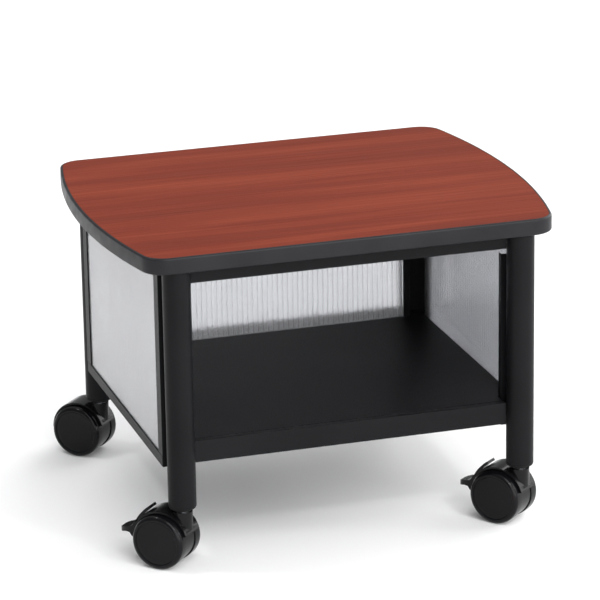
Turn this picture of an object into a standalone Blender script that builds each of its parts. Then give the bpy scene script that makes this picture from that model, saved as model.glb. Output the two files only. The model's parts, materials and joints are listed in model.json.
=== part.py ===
"""Mobile printer stand: a laminate top with bowed sides on four tube legs, a steel shelf between ribbed
clear side and back panels, and four twin-wheel casters, the two front ones with a brake lever.

Metres, +Z up, the front faces -Y. The origin is on the floor, at the centre of the rectangle that the whole
stand covers, casters included.
"""

from math import asin, atan2, cos, degrees, pi, radians, sin, sqrt

import bmesh
import bpy

GAP = 0.0003  # air between two pieces that touch
CUT_PAST = 0.01  # how far a cutting shape reaches past the piece it cuts

# The top: a board with a moulded band round its edge
TOP_WIDTH = 0.5207
TOP_DEPTH = 0.4191
TOP_HEIGHT = 0.3683
TOP_THICKNESS = 0.01905
CORNER_HALF_WIDTH = 0.2338  # where the straight front edge and the bowed side would meet
CORNER_RADIUS = 0.028
BAND_THICKNESS = 0.003
BAND_EDGE_RADIUS = 0.0022
SIDE_STEPS = 16
CORNER_STEPS = 7
EDGE_STEPS = 3
TOP_UNDERSIDE = TOP_HEIGHT - TOP_THICKNESS

# The legs and the sockets in their lower ends
LEG_X = 0.201
LEG_Y = 0.190
LEG_RADIUS = 0.015875
LEG_WALL = 0.0015
LEG_BOTTOM = 0.0725
SOCKET_FLANGE = 0.0013
SOCKET_FLANGE_RADIUS = 0.0152
SOCKET_BOSS_RADIUS = 0.0108
SOCKET_BOSS_BOTTOM = 0.0682
SOCKET_DEPTH = 0.036
ROUND_STEPS = 28
INNER_STEPS = 16  # on round pieces that are hidden or small

# Folded sheet: aprons, crossbars, uprights, rails, channels and deck
SHEET = 0.0012
BAR_FACE_Y = 0.189
BAR_HALF_LENGTH = 0.1848
APRON_HEIGHT = 0.018
APRON_FLANGE = 0.029
SIDE_APRON_X = 0.2012
SIDE_APRON_FLANGE = 0.0155
SIDE_APRON_HALF_LENGTH = 0.1738
SHELF_HEIGHT = 0.1463
SHELF_STEP = 0.0005  # the strip behind the back panel's front face lies this much lower
CROSSBAR_HEIGHT = 0.0253
CROSSBAR_TOP_LIP = 0.0085
CROSSBAR_LOWER_LIP = 0.0155
DECK_HALF_WIDTH = 0.203
DECK_HALF_DEPTH = 0.1797
FRAME_INNER_X = 0.184
FRAME_OUTER_X = 0.218
FRAME_HALF_DEPTH = 0.173
UPRIGHT_LIP = 0.018
UPRIGHT_INNER_LIP = 0.008
FRAME_TOP = TOP_UNDERSIDE - GAP - SHEET - GAP
UPRIGHT_NOTCH_BOTTOM = 0.320  # above this an upright is cut away round the side apron
RAIL_BOTTOM = 0.114
RAIL_TOP = 0.1265
NOTCH_CLEARANCE = 0.0006

# The panels
PANEL_THICKNESS = 0.0043
BACK_PANEL_Y = 0.1474
BACK_CHANNEL_DEPTH = 0.0077

# The board screws
SCREW_X = 0.120
SCREW_Y = 0.171
SCREW_RADIUS = 0.0019
SCREW_HEAD_RADIUS = 0.004
SCREW_HEAD_HEIGHT = 0.0018
SCREW_HEAD_EDGE = 0.001
SCREW_POINT = 0.0015
SCREW_LENGTH = 0.0125
SCREW_CLEARANCE = 0.0004
SCREW_STEPS = 10

# The casters, in a frame with its origin under the swivel axis and +X along the trail
TRAIL = 0.0215
WHEEL_RADIUS = 0.03175
WHEEL_OUTER_FACE = 0.0248
WHEEL_INNER_FACE = 0.0100
WHEEL_EDGE_RADIUS = 0.005
WHEEL_TYRE = 0.0047
WHEEL_FACE_THICKNESS = 0.0060
WHEEL_HUB_RADIUS = 0.0075
WHEEL_STEPS = 30
WHEEL_EDGE_STEPS = 3
AXLE_RADIUS = 0.0026
AXLE_HALF_LENGTH = 0.0180
HOOD_RADIUS = 0.035
HOOD_INNER_RADIUS = 0.0327
HOOD_HALF_WIDTH = 0.016
HOOD_LEADING_ANGLE = 163
HOOD_STEPS = 18
WEB_RADIUS = 0.0305
WEB_HALF_WIDTH = 0.0093
WEB_LOWEST = 0.003
COLUMN_RADIUS = 0.0113
COLUMN_TOP = 0.0668
COLUMN_BOTTOM = 0.045
STEM_RADIUS = 0.0055
STEM_TOP = 0.106
STEM_BOTTOM = 0.0607
STEM_END_ROOM = 0.001
STEM_BEVEL = 0.001
STEM_COLLAR_RADIUS = 0.0085

# The brake lever. Angles are about the axle, above the trailing horizontal. Points are (along, up) from the
# axle. A place is (radius, angle).
LEVER_HALF_WIDTH = 0.0115
LEVER_INNER_RADIUS = 0.0356
LEVER_OUTER_RADIUS = 0.0386
LEVER_LOWEST_ANGLE = -2
LEVER_ROOT_ANGLE = 26
TAB_HALF_WIDTH = 0.0075
TAB_START_ANGLE = 16
TAB_LIFT_ANGLE = 44
TAB_OUTER_LIFT_ANGLE = 52
TAB_INNER_TIP = (0.0371, 66)
TAB_OUTER_TIP = (0.0403, 64.5)
PEDAL_TOP = ((0.0366, 0.0126), (0.0400, 0.0103), (0.0460, 0.0087), (0.0520, 0.0070), (0.0552, 0.0055))
PEDAL_NOSE = ((0.0566, 0.0034), (0.0566, 0.0018), (0.0554, 0.0004))
PEDAL_UNDERSIDE = ((0.0520, 0.0010), (0.0460, 0.0028), (0.0410, 0.0024))
PEDAL_ROUND_START = 0.0400  # from here the pedal narrows to its round end, seen from above
PEDAL_STEPS = 12
PIN_PLACE = (0.0350, 24)
PIN_RADIUS = 0.0012
PIN_HALF_LENGTH = 0.0104
LUG_RADIUS = 0.0020
LUG_HALF_WIDTH = 0.0044
NECK_INNER_RADIUS = 0.026
NECK_HALF_HEIGHT = 0.0015
BOSS_RADIUS = 0.0026
BOSS_SLOT_RADIUS = 0.0027
BOSS_SLOT_HALF_WIDTH = 0.005
LEVER_SIDE_CLEARANCE = 0.0005
LEVER_ROOM_RADII = (0.0315, 0.045)
LEVER_ROOM_ANGLES = (-30, 37)
LEVER_ROOM_STEPS = 10
LEVER_STEPS = 5

# name, side of X, side of Y, heading of the trail in degrees from +X, has a brake
CASTERS = (
    ("front_left", -1, -1, 136.5, True),
    ("front_right", 1, -1, 129.3, True),
    ("rear_left", -1, 1, 137.0, False),
    ("rear_right", 1, 1, 133.0, False),
)


def caster_reach(heading, direction):
    """How far a caster's wheels reach along +Y or -Y from its swivel axis."""
    across = TRAIL * sin(radians(heading)) * direction
    turning = (WHEEL_RADIUS - WHEEL_EDGE_RADIUS) * abs(sin(radians(heading)))
    sideways = (WHEEL_OUTER_FACE - WHEEL_EDGE_RADIUS) * abs(cos(radians(heading)))
    return across + turning + sideways + WHEEL_EDGE_RADIUS


def centre_shift():
    """How far the leg frame sits from the origin along Y, to put the origin at the centre of the stand."""
    front = min(side_y * LEG_Y - caster_reach(heading, -1) for _, _, side_y, heading, _ in CASTERS)
    rear = max(side_y * LEG_Y + caster_reach(heading, 1) for _, _, side_y, heading, _ in CASTERS)
    return -(front + rear) / 2


# Materials


def material(name, colour, roughness, metallic=0.0, alpha=1.0):
    made = bpy.data.materials.new(name)
    made.use_nodes = True
    shader = made.node_tree.nodes["Principled BSDF"]
    shader.inputs["Base Color"].default_value = (*colour, 1.0)
    shader.inputs["Roughness"].default_value = roughness
    shader.inputs["Metallic"].default_value = metallic
    shader.inputs["Alpha"].default_value = alpha
    return made


# Building blocks


def body_of(loops, wrap=False):
    """A closed body through loops of equal length; wrap joins the last loop to the first, for a ring."""
    bm = bmesh.new()
    rows = [[bm.verts.new(point) for point in loop] for loop in loops]
    count = len(rows[0])
    pairs = list(zip(rows, rows[1:]))
    if wrap:
        pairs.append((rows[-1], rows[0]))
    for row, following in pairs:
        for i in range(count):
            j = (i + 1) % count
            bm.faces.new((row[i], row[j], following[j], following[i]))
    if not wrap:
        bm.faces.new(rows[0])
        bm.faces.new(rows[-1])
    bmesh.ops.recalc_face_normals(bm, faces=bm.faces)
    mesh = bpy.data.meshes.new("body")
    bm.to_mesh(mesh)
    bm.free()
    return mesh


def circle(radius, height, steps):
    angles = [2 * pi * i / steps for i in range(steps)]
    return [(radius * cos(a), radius * sin(a), height) for a in angles]


def turned(profile, steps=ROUND_STEPS, wrap=False):
    """A body turned about Z from (radius, height) points."""
    return body_of([circle(radius, height, steps) for radius, height in profile], wrap)


def prism(outline, low, high, axis="Z"):
    """An outline pushed from low to high along an axis. Along X it is given as (y, z), along Y as (x, z)."""
    order = {
        "X": lambda p, h: (h, p[0], p[1]),
        "Y": lambda p, h: (p[0], h, p[1]),
        "Z": lambda p, h: (p[0], p[1], h),
    }[axis]
    return body_of([[order(p, low) for p in outline], [order(p, high) for p in outline]])


def block(x, y, z):
    """A box from its (low, high) along each axis."""
    corners = [(x[0], y[0]), (x[1], y[0]), (x[1], y[1]), (x[0], y[1])]
    return prism(corners, z[0], z[1])


def place(name, mesh, look, parent, location=(0, 0, 0), rotation=(0, 0, 0), smooth=False):
    """One named object; smooth rounds its shading but keeps its sharp edges."""
    obj = bpy.data.objects.new(name, mesh)
    bpy.context.scene.collection.objects.link(obj)
    if look and not mesh.materials:
        mesh.materials.append(look)
    if smooth:
        mesh.shade_smooth()
        mesh.set_sharp_from_angle(angle=radians(35))
    obj.parent = parent
    obj.location = location
    obj.rotation_euler = rotation
    return obj


def empty(name, parent=None, location=(0, 0, 0), rotation=(0, 0, 0)):
    obj = bpy.data.objects.new(name, None)
    bpy.context.scene.collection.objects.link(obj)
    obj.parent = parent
    obj.location = location
    obj.rotation_euler = rotation
    return obj


def helper(mesh, like, location=(0, 0, 0)):
    """A shape that only cuts or joins another, so it isn't a piece itself. It lies in its partner's space."""
    obj = bpy.data.objects.new("helper", mesh)
    bpy.context.scene.collection.objects.link(obj)
    obj.hide_render = True
    obj.display_type = "WIRE"
    obj.parent = like.parent
    obj.location = location
    return obj


def combine(obj, other, operation):
    step = obj.modifiers.new(operation.lower(), "BOOLEAN")
    step.operation = operation
    step.object = other


def settled(obj):
    """The object's mesh with its modifiers applied, for copies to share. The object and its helpers go."""
    bpy.context.view_layer.update()
    graph = bpy.context.evaluated_depsgraph_get()
    mesh = bpy.data.meshes.new_from_object(obj.evaluated_get(graph))
    for other in [step.object for step in obj.modifiers]:
        bpy.data.objects.remove(other)
    bpy.data.objects.remove(obj)
    return mesh


# The top


def top_outline(inset, height):
    """The top's outline, inset all round: straight front and back, round corners, bowed sides."""
    half_depth = TOP_DEPTH / 2
    bow = TOP_WIDTH / 2 - CORNER_HALF_WIDTH
    side_radius = (half_depth**2 + bow**2) / (2 * bow)
    side_centre = TOP_WIDTH / 2 - side_radius
    corner_y = half_depth - CORNER_RADIUS
    corner_x = side_centre + sqrt((side_radius - CORNER_RADIUS) ** 2 - corner_y**2)
    turn = atan2(corner_y, corner_x - side_centre)
    quarter = []
    for i in range(SIDE_STEPS // 2 + 1):
        angle = turn * i / (SIDE_STEPS // 2)
        reach = side_radius - inset
        quarter.append((side_centre + reach * cos(angle), reach * sin(angle)))
    for i in range(1, CORNER_STEPS + 1):
        angle = turn + (pi / 2 - turn) * i / CORNER_STEPS
        reach = CORNER_RADIUS - inset
        quarter.append((corner_x + reach * cos(angle), corner_y + reach * sin(angle)))
    rear_left = [(-x, y) for x, y in reversed(quarter)]
    front_left = [(-x, -y) for x, y in quarter[1:]]
    front_right = [(x, -y) for x, y in reversed(quarter[1:])]
    return [(x, y, height) for x, y in quarter + rear_left + front_left + front_right]


def edge_band_mesh():
    """The band, with both outer edges rounded."""
    turns = [pi / 2 * i / EDGE_STEPS for i in range(EDGE_STEPS + 1)]
    lower = [
        (BAND_EDGE_RADIUS * (1 - sin(t)), TOP_UNDERSIDE + BAND_EDGE_RADIUS * (1 - cos(t)))
        for t in turns
    ]
    upper = [
        (BAND_EDGE_RADIUS * (1 - cos(t)), TOP_HEIGHT - BAND_EDGE_RADIUS * (1 - sin(t)))
        for t in turns
    ]
    section = [(BAND_THICKNESS, TOP_UNDERSIDE), *lower, *upper, (BAND_THICKNESS, TOP_HEIGHT)]
    return body_of([top_outline(inset, height) for inset, height in section], wrap=True)


def build_top(frame):
    laminate = material("wood_laminate", (0.26, 0.075, 0.04), 0.4)
    band = material("edge_band", (0.03, 0.03, 0.032), 0.45)
    place("top_edge_band", edge_band_mesh(), band, frame, smooth=True)
    inset = BAND_THICKNESS + GAP
    outline = [(x, y) for x, y, _ in top_outline(inset, 0)]
    board = place("top_board", prism(outline, TOP_UNDERSIDE, TOP_HEIGHT), laminate, frame)
    hole_top = TOP_UNDERSIDE - SHEET + SCREW_LENGTH + SCREW_CLEARANCE
    for x, y in screw_places():
        hole = screw_hole(TOP_UNDERSIDE - CUT_PAST, hole_top)
        combine(board, helper(hole, board, (x, y, 0)), "DIFFERENCE")


def screw_places():
    return [(x * SCREW_X, y * SCREW_Y) for y in (-1, 1) for x in (-1, 1)]


def screw_hole(low, high):
    return turned([(SCREW_RADIUS + SCREW_CLEARANCE, height) for height in (low, high)], SCREW_STEPS)


# The legs


def build_legs(frame, steel, plastic, zinc):
    tube = turned(
        [
            (LEG_RADIUS, LEG_BOTTOM),
            (LEG_RADIUS, TOP_UNDERSIDE - GAP),
            (LEG_RADIUS - LEG_WALL, TOP_UNDERSIDE - GAP),
            (LEG_RADIUS - LEG_WALL, LEG_BOTTOM),
        ],
        wrap=True,
    )
    bore = STEM_RADIUS + GAP
    flange_top = LEG_BOTTOM - GAP
    flange_bottom = flange_top - SOCKET_FLANGE
    plug = LEG_RADIUS - LEG_WALL - GAP
    socket = turned(
        [
            (bore, SOCKET_BOSS_BOTTOM),
            (SOCKET_BOSS_RADIUS, SOCKET_BOSS_BOTTOM),
            (SOCKET_BOSS_RADIUS, flange_bottom),
            (SOCKET_FLANGE_RADIUS, flange_bottom),
            (SOCKET_FLANGE_RADIUS, flange_top),
            (plug, flange_top),
            (plug, LEG_BOTTOM + SOCKET_DEPTH),
            (bore, LEG_BOTTOM + SOCKET_DEPTH),
        ],
        wrap=True,
    )
    collar_bottom = COLUMN_TOP + GAP
    collar_top = SOCKET_BOSS_BOTTOM - GAP
    stem = turned(
        [
            (STEM_RADIUS, STEM_BOTTOM),
            (STEM_RADIUS, collar_bottom),
            (STEM_COLLAR_RADIUS, collar_bottom),
            (STEM_COLLAR_RADIUS, collar_top),
            (STEM_RADIUS, collar_top),
            (STEM_RADIUS, STEM_TOP - STEM_BEVEL),
            (STEM_RADIUS - STEM_BEVEL, STEM_TOP),
        ],
        INNER_STEPS,
    )
    for name, side_x, side_y, _, _ in CASTERS:
        spot = (side_x * LEG_X, side_y * LEG_Y, 0)
        place(name + "_leg", tube, steel, frame, spot, smooth=True)
        place(name + "_leg_socket", socket, plastic, frame, spot, smooth=True)
        place(name + "_caster_stem", stem, zinc, frame, spot, smooth=True)


# Folded sheet pieces. Each section is drawn for the front or the right, and mirrored for the other side.


def mirrored(outline, side):
    return [(side * across, height) for across, height in outline]


def apron_outline(face, flange):
    """An angle: a face that hangs down and a flange under the board."""
    top = TOP_UNDERSIDE - GAP
    return [
        (face, top - APRON_HEIGHT),
        (face, top),
        (face - flange, top),
        (face - flange, top - SHEET),
        (face - SHEET, top - SHEET),
        (face - SHEET, top - APRON_HEIGHT),
    ]


def build_aprons(frame, steel):
    top = TOP_UNDERSIDE - GAP
    outline = apron_outline(BAR_FACE_Y, APRON_FLANGE)
    for name, side in (("front_apron", -1), ("rear_apron", 1)):
        mesh = prism(mirrored(outline, side), -BAR_HALF_LENGTH, BAR_HALF_LENGTH, "X")
        apron = place(name, mesh, steel, frame)
        for x, y in screw_places():
            if y * side > 0:
                hole = screw_hole(top - CUT_PAST, top + CUT_PAST)
                combine(apron, helper(hole, apron, (x, y, 0)), "DIFFERENCE")
    side_outline = apron_outline(SIDE_APRON_X, SIDE_APRON_FLANGE)
    for name, side in (("left_apron", -1), ("right_apron", 1)):
        mesh = prism(mirrored(side_outline, side), -SIDE_APRON_HALF_LENGTH, SIDE_APRON_HALF_LENGTH, "Y")
        place(name, mesh, steel, frame)


def build_screws(frame, zinc):
    head_top = TOP_UNDERSIDE - GAP - SHEET - GAP
    screw = turned(
        [
            (SCREW_HEAD_RADIUS - SCREW_HEAD_EDGE, head_top - SCREW_HEAD_HEIGHT),
            (SCREW_HEAD_RADIUS, head_top - SCREW_HEAD_HEIGHT / 2),
            (SCREW_HEAD_RADIUS, head_top),
            (SCREW_RADIUS, head_top),
            (SCREW_RADIUS, head_top + SCREW_LENGTH - SCREW_POINT),
            (SCREW_RADIUS / 3, head_top + SCREW_LENGTH),
        ],
        SCREW_STEPS,
    )
    names = ("front_left", "front_right", "rear_left", "rear_right")
    for name, (x, y) in zip(names, screw_places()):
        place(name + "_board_screw", screw, zinc, frame, (x, y, 0), smooth=True)


def build_crossbars(frame, steel):
    face, top, bottom = BAR_FACE_Y, SHELF_HEIGHT, SHELF_HEIGHT - CROSSBAR_HEIGHT
    outline = [
        (face, bottom),
        (face, top),
        (face - CROSSBAR_TOP_LIP, top),
        (face - CROSSBAR_TOP_LIP, top - SHEET),
        (face - SHEET, top - SHEET),
        (face - SHEET, bottom + SHEET),
        (face - CROSSBAR_LOWER_LIP, bottom + SHEET),
        (face - CROSSBAR_LOWER_LIP, bottom),
    ]
    for name, side in (("shelf_front_crossbar", -1), ("shelf_rear_crossbar", 1)):
        place(name, prism(mirrored(outline, side), -BAR_HALF_LENGTH, BAR_HALF_LENGTH, "X"), steel, frame)


def deck_outline(inset):
    """The deck seen from above, with a notch at each corner for an upright."""
    wide = DECK_HALF_WIDTH - inset
    narrow = FRAME_INNER_X - NOTCH_CLEARANCE - inset
    deep = DECK_HALF_DEPTH - inset
    shallow = FRAME_HALF_DEPTH - UPRIGHT_INNER_LIP - NOTCH_CLEARANCE - inset
    quarter = [(wide, shallow), (narrow, shallow), (narrow, deep)]
    return (
        quarter
        + [(-x, y) for x, y in reversed(quarter)]
        + [(-x, -y) for x, y in quarter]
        + [(x, -y) for x, y in reversed(quarter)]
    )


def build_deck(frame, steel):
    """A tray turned upside down, its flanges on the side rails. Behind the bay its sheet steps down a little,
    and the back panel stands on that lower strip."""
    flange_bottom = RAIL_TOP + GAP
    step = BACK_PANEL_Y - GAP - SHEET - GAP
    deck = place("shelf_deck", prism(deck_outline(0), flange_bottom, SHELF_HEIGHT), steel, frame)
    across = (-DECK_HALF_WIDTH - CUT_PAST, DECK_HALF_WIDTH + CUT_PAST)
    along = (step, DECK_HALF_DEPTH + CUT_PAST)
    strip = block(across, along, (SHELF_HEIGHT - SHELF_STEP, SHELF_HEIGHT + CUT_PAST))
    combine(deck, helper(strip, deck), "DIFFERENCE")
    ceiling = SHELF_HEIGHT - SHEET
    hollow = prism(deck_outline(SHEET), flange_bottom - CUT_PAST, ceiling - SHELF_STEP)
    combine(deck, helper(hollow, deck), "DIFFERENCE")
    front_notches = deck_outline(SHEET)[6:]
    behind = [(DECK_HALF_WIDTH - SHEET, step - SHEET), (SHEET - DECK_HALF_WIDTH, step - SHEET)]
    upper_hollow = prism(behind + front_notches, flange_bottom, ceiling)
    combine(deck, helper(upper_hollow, deck), "DIFFERENCE")


def build_side_frames(frame, steel):
    """Each side has a front and a rear upright on a bottom rail, all channels that hold the panel's edges.
    An upright's web reaches down over the end of the rail."""
    inner, outer, deep = FRAME_INNER_X, FRAME_OUTER_X, FRAME_HALF_DEPTH
    upright = [
        (inner, deep),
        (outer, deep),
        (outer, deep - UPRIGHT_LIP),
        (outer - SHEET, deep - UPRIGHT_LIP),
        (outer - SHEET, deep - SHEET),
        (inner + SHEET, deep - SHEET),
        (inner + SHEET, deep - UPRIGHT_INNER_LIP),
        (inner, deep - UPRIGHT_INNER_LIP),
    ]
    rail = [
        (inner, RAIL_BOTTOM),
        (outer, RAIL_BOTTOM),
        (outer, RAIL_TOP),
        (outer - SHEET, RAIL_TOP),
        (outer - SHEET, RAIL_BOTTOM + SHEET),
        (inner + SHEET, RAIL_BOTTOM + SHEET),
        (inner + SHEET, RAIL_TOP),
        (inner, RAIL_TOP),
    ]
    whole = (inner - CUT_PAST, outer + CUT_PAST)
    for side_name, side_x in (("left", -1), ("right", 1)):
        for end_name, side_y in (("front", -1), ("rear", 1)):
            outline = [(side_x * x, side_y * y) for x, y in upright]
            mesh = prism(outline, RAIL_BOTTOM, FRAME_TOP)
            post = place(f"{side_name}_{end_name}_upright", mesh, steel, frame)
            across = sorted((side_x * (inner - CUT_PAST), side_x * (SIDE_APRON_X + NOTCH_CLEARANCE)))
            along = sorted((side_y * (deep - UPRIGHT_LIP), side_y * (deep + CUT_PAST)))
            notch = block(across, along, (UPRIGHT_NOTCH_BOTTOM, FRAME_TOP + CUT_PAST))
            combine(post, helper(notch, post), "DIFFERENCE")
            across = sorted(side_x * x for x in whole)
            along = sorted((side_y * (deep - UPRIGHT_LIP - CUT_PAST), side_y * (deep - SHEET)))
            foot = block(across, along, (RAIL_BOTTOM - CUT_PAST, RAIL_TOP + GAP))
            combine(post, helper(foot, post), "DIFFERENCE")
        reach = deep - SHEET - GAP
        rail_mesh = prism(mirrored(rail, side_x), -reach, reach, "Y")
        place(f"{side_name}_bottom_rail", rail_mesh, steel, frame)


# The panels


def build_panels(frame, steel):
    clear = material("ribbed_clear_panel", (0.8, 0.82, 0.84), 0.25, alpha=0.7)
    outer = FRAME_OUTER_X - SHEET - GAP
    reach = FRAME_HALF_DEPTH - SHEET - GAP
    for name, side in (("left_side_panel", -1), ("right_side_panel", 1)):
        faces = sorted((side * outer, side * (outer - PANEL_THICKNESS)))
        place(name, block(faces, (-reach, reach), (RAIL_BOTTOM + SHEET + GAP, FRAME_TOP)), clear, frame)
    web = FRAME_INNER_X - GAP
    front = BACK_PANEL_Y - GAP - SHEET
    rear = BACK_PANEL_Y + PANEL_THICKNESS + GAP + SHEET
    lip = web - BACK_CHANNEL_DEPTH
    section = [
        (lip, front),
        (web, front),
        (web, rear),
        (lip, rear),
        (lip, rear - SHEET),
        (web - SHEET, rear - SHEET),
        (web - SHEET, front + SHEET),
        (lip, front + SHEET),
    ]
    foot = SHELF_HEIGHT - SHELF_STEP + GAP
    for name, side in (("left_back_channel", -1), ("right_back_channel", 1)):
        place(name, prism([(side * x, y) for x, y in section], foot, FRAME_TOP), steel, frame)
    half = web - SHEET - GAP
    depth = (BACK_PANEL_Y, BACK_PANEL_Y + PANEL_THICKNESS)
    place("back_panel", block((-half, half), depth, (foot, FRAME_TOP)), clear, frame)


# The casters. Shapes about the axle are drawn in (along, up) and pushed along the axle.


def polar(radius, angle):
    """A point about the axle, in the caster's frame."""
    return (TRAIL + radius * cos(radians(angle)), WHEEL_RADIUS + radius * sin(radians(angle)))


def arc(radius, start, end, steps):
    return [polar(radius, start + (end - start) * i / steps) for i in range(steps + 1)]


def about(centre, radius, steps):
    angles = [2 * pi * i / steps for i in range(steps)]
    return [(centre[0] + radius * cos(a), centre[1] + radius * sin(a)) for a in angles]


def wheel_mesh():
    """One wheel about its own axis, Z outwards from the caster's middle: a cup with a hub and a face."""
    flat = 1 / cos(pi / WHEEL_STEPS)  # brings the middle of each flat of the tread out to the wheel's radius
    rim = WHEEL_RADIUS - WHEEL_EDGE_RADIUS
    shoulder = WHEEL_OUTER_FACE - WHEEL_EDGE_RADIUS
    bore = AXLE_RADIUS + GAP
    back = WHEEL_OUTER_FACE - WHEEL_FACE_THICKNESS
    profile = [
        (bore, AXLE_HALF_LENGTH + GAP),
        (bore, WHEEL_INNER_FACE),
        (WHEEL_HUB_RADIUS, WHEEL_INNER_FACE),
        (WHEEL_HUB_RADIUS, back),
        (WHEEL_RADIUS - WHEEL_TYRE, back),
        (WHEEL_RADIUS - WHEEL_TYRE, WHEEL_INNER_FACE),
        (WHEEL_RADIUS * flat, WHEEL_INNER_FACE),
    ]
    for i in range(WHEEL_EDGE_STEPS + 1):
        angle = pi / 2 * i / WHEEL_EDGE_STEPS
        reach = (rim + WHEEL_EDGE_RADIUS * cos(angle)) * flat
        profile.append((reach, shoulder + WHEEL_EDGE_RADIUS * sin(angle)))
    return turned(profile, WHEEL_STEPS)


def hood_mesh(braked):
    """The caster's body: hood over the wheels, web between them, column round the stem."""
    sector = arc(HOOD_RADIUS, 0, HOOD_LEADING_ANGLE, HOOD_STEPS) + [polar(0, 0)]
    hood = place("hood", prism(sector, -HOOD_HALF_WIDTH, HOOD_HALF_WIDTH, "Y"), None, None)
    low = degrees(asin((WEB_LOWEST - WHEEL_RADIUS) / WEB_RADIUS))
    disc = arc(WEB_RADIUS, low, 180 - low, HOOD_STEPS)
    combine(hood, helper(prism(disc, -WEB_HALF_WIDTH, WEB_HALF_WIDTH, "Y"), hood), "UNION")
    column = turned([(COLUMN_RADIUS, COLUMN_BOTTOM), (COLUMN_RADIUS, COLUMN_TOP)])
    combine(hood, helper(column, hood), "UNION")
    room = about(polar(0, 0), HOOD_INNER_RADIUS, WHEEL_STEPS)
    outside = HOOD_HALF_WIDTH + CUT_PAST
    for low_y, high_y in ((WEB_HALF_WIDTH, outside), (-outside, -WEB_HALF_WIDTH)):
        combine(hood, helper(prism(room, low_y, high_y, "Y"), hood), "DIFFERENCE")
    if braked:
        low, high = LEVER_ROOM_ANGLES
        near, far = LEVER_ROOM_RADII
        slot = arc(near, low, high, LEVER_ROOM_STEPS) + arc(far, high, low, LEVER_ROOM_STEPS)
        half = LEVER_HALF_WIDTH + LEVER_SIDE_CLEARANCE
        combine(hood, helper(prism(slot, -half, half, "Y"), hood), "DIFFERENCE")
        radius, angle = PIN_PLACE
        spread = degrees(asin(NECK_HALF_HEIGHT / radius))
        neck = [polar(NECK_INNER_RADIUS, angle - spread), polar(radius, angle - spread)]
        neck += [polar(radius, angle + spread), polar(NECK_INNER_RADIUS, angle + spread)]
        for shape in (neck, about(polar(*PIN_PLACE), LUG_RADIUS, INNER_STEPS)):
            combine(hood, helper(prism(shape, -LUG_HALF_WIDTH, LUG_HALF_WIDTH, "Y"), hood), "UNION")
        pin_hole = about(polar(*PIN_PLACE), PIN_RADIUS + GAP, INNER_STEPS)
        combine(hood, helper(prism(pin_hole, -LEVER_HALF_WIDTH, LEVER_HALF_WIDTH, "Y"), hood), "DIFFERENCE")
    axle_hole = about(polar(0, 0), AXLE_RADIUS + GAP, INNER_STEPS)
    combine(hood, helper(prism(axle_hole, -outside, outside, "Y"), hood), "DIFFERENCE")
    hole_ends = (STEM_BOTTOM - STEM_END_ROOM, COLUMN_TOP + CUT_PAST)
    stem_hole = turned([(STEM_RADIUS + 2 * GAP, height) for height in hole_ends], INNER_STEPS)
    combine(hood, helper(stem_hole, hood), "DIFFERENCE")
    return settled(hood)


def pedal_outline():
    """The pedal and the shoe over the treads, from the side."""
    outline = arc(LEVER_INNER_RADIUS, LEVER_LOWEST_ANGLE, LEVER_ROOT_ANGLE, LEVER_STEPS)
    outline.append(polar(LEVER_OUTER_RADIUS, LEVER_ROOT_ANGLE))
    for along, up in PEDAL_TOP + PEDAL_NOSE + PEDAL_UNDERSIDE:
        outline.append((TRAIL + along, WHEEL_RADIUS + up))
    outline.append(polar(LEVER_OUTER_RADIUS, LEVER_LOWEST_ANGLE))
    return outline


def tab_outline():
    """The tab over the hood's back, from the side: it follows the hood and lifts off at its tip."""
    outline = arc(LEVER_INNER_RADIUS, TAB_START_ANGLE, TAB_LIFT_ANGLE, LEVER_STEPS)
    outline += [polar(*TAB_INNER_TIP), polar(*TAB_OUTER_TIP)]
    return outline + arc(LEVER_OUTER_RADIUS, TAB_OUTER_LIFT_ANGLE, TAB_START_ANGLE, LEVER_STEPS)


def from_pin(outline):
    """An outline about the axle, moved to lie about the lever's pin."""
    pin_x, pin_z = polar(*PIN_PLACE)
    return [(x - pin_x, z - pin_z) for x, z in outline]


def lever_mesh():
    """The brake lever about its pin: a foot pedal with a round end, and a tab above it."""
    half = LEVER_HALF_WIDTH
    lever = place("lever", prism(from_pin(pedal_outline()), -half, half, "Y"), None, None)
    start = TRAIL + PEDAL_ROUND_START - polar(*PIN_PLACE)[0]
    length = PEDAL_NOSE[0][0] - PEDAL_ROUND_START
    turns = [pi * i / PEDAL_STEPS - pi / 2 for i in range(PEDAL_STEPS + 1)]
    plan = [(start + length * cos(t), half * sin(t)) for t in turns] + [(-CUT_PAST, half), (-CUT_PAST, -half)]
    combine(lever, helper(prism(plan, -WHEEL_RADIUS, WHEEL_RADIUS), lever), "INTERSECT")
    tab = prism(from_pin(tab_outline()), -TAB_HALF_WIDTH, TAB_HALF_WIDTH, "Y")
    combine(lever, helper(tab, lever), "UNION")
    boss = prism(about((0, 0), BOSS_RADIUS, INNER_STEPS), -half + GAP, half - GAP, "Y")
    combine(lever, helper(boss, lever), "UNION")
    slot_outline = about((0, 0), BOSS_SLOT_RADIUS, INNER_STEPS)
    slot = prism(slot_outline, -BOSS_SLOT_HALF_WIDTH, BOSS_SLOT_HALF_WIDTH, "Y")
    combine(lever, helper(slot, lever), "DIFFERENCE")
    hole = prism(about((0, 0), PIN_RADIUS + GAP, INNER_STEPS), -half - CUT_PAST, half + CUT_PAST, "Y")
    combine(lever, helper(hole, lever), "DIFFERENCE")
    return settled(lever)


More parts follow.
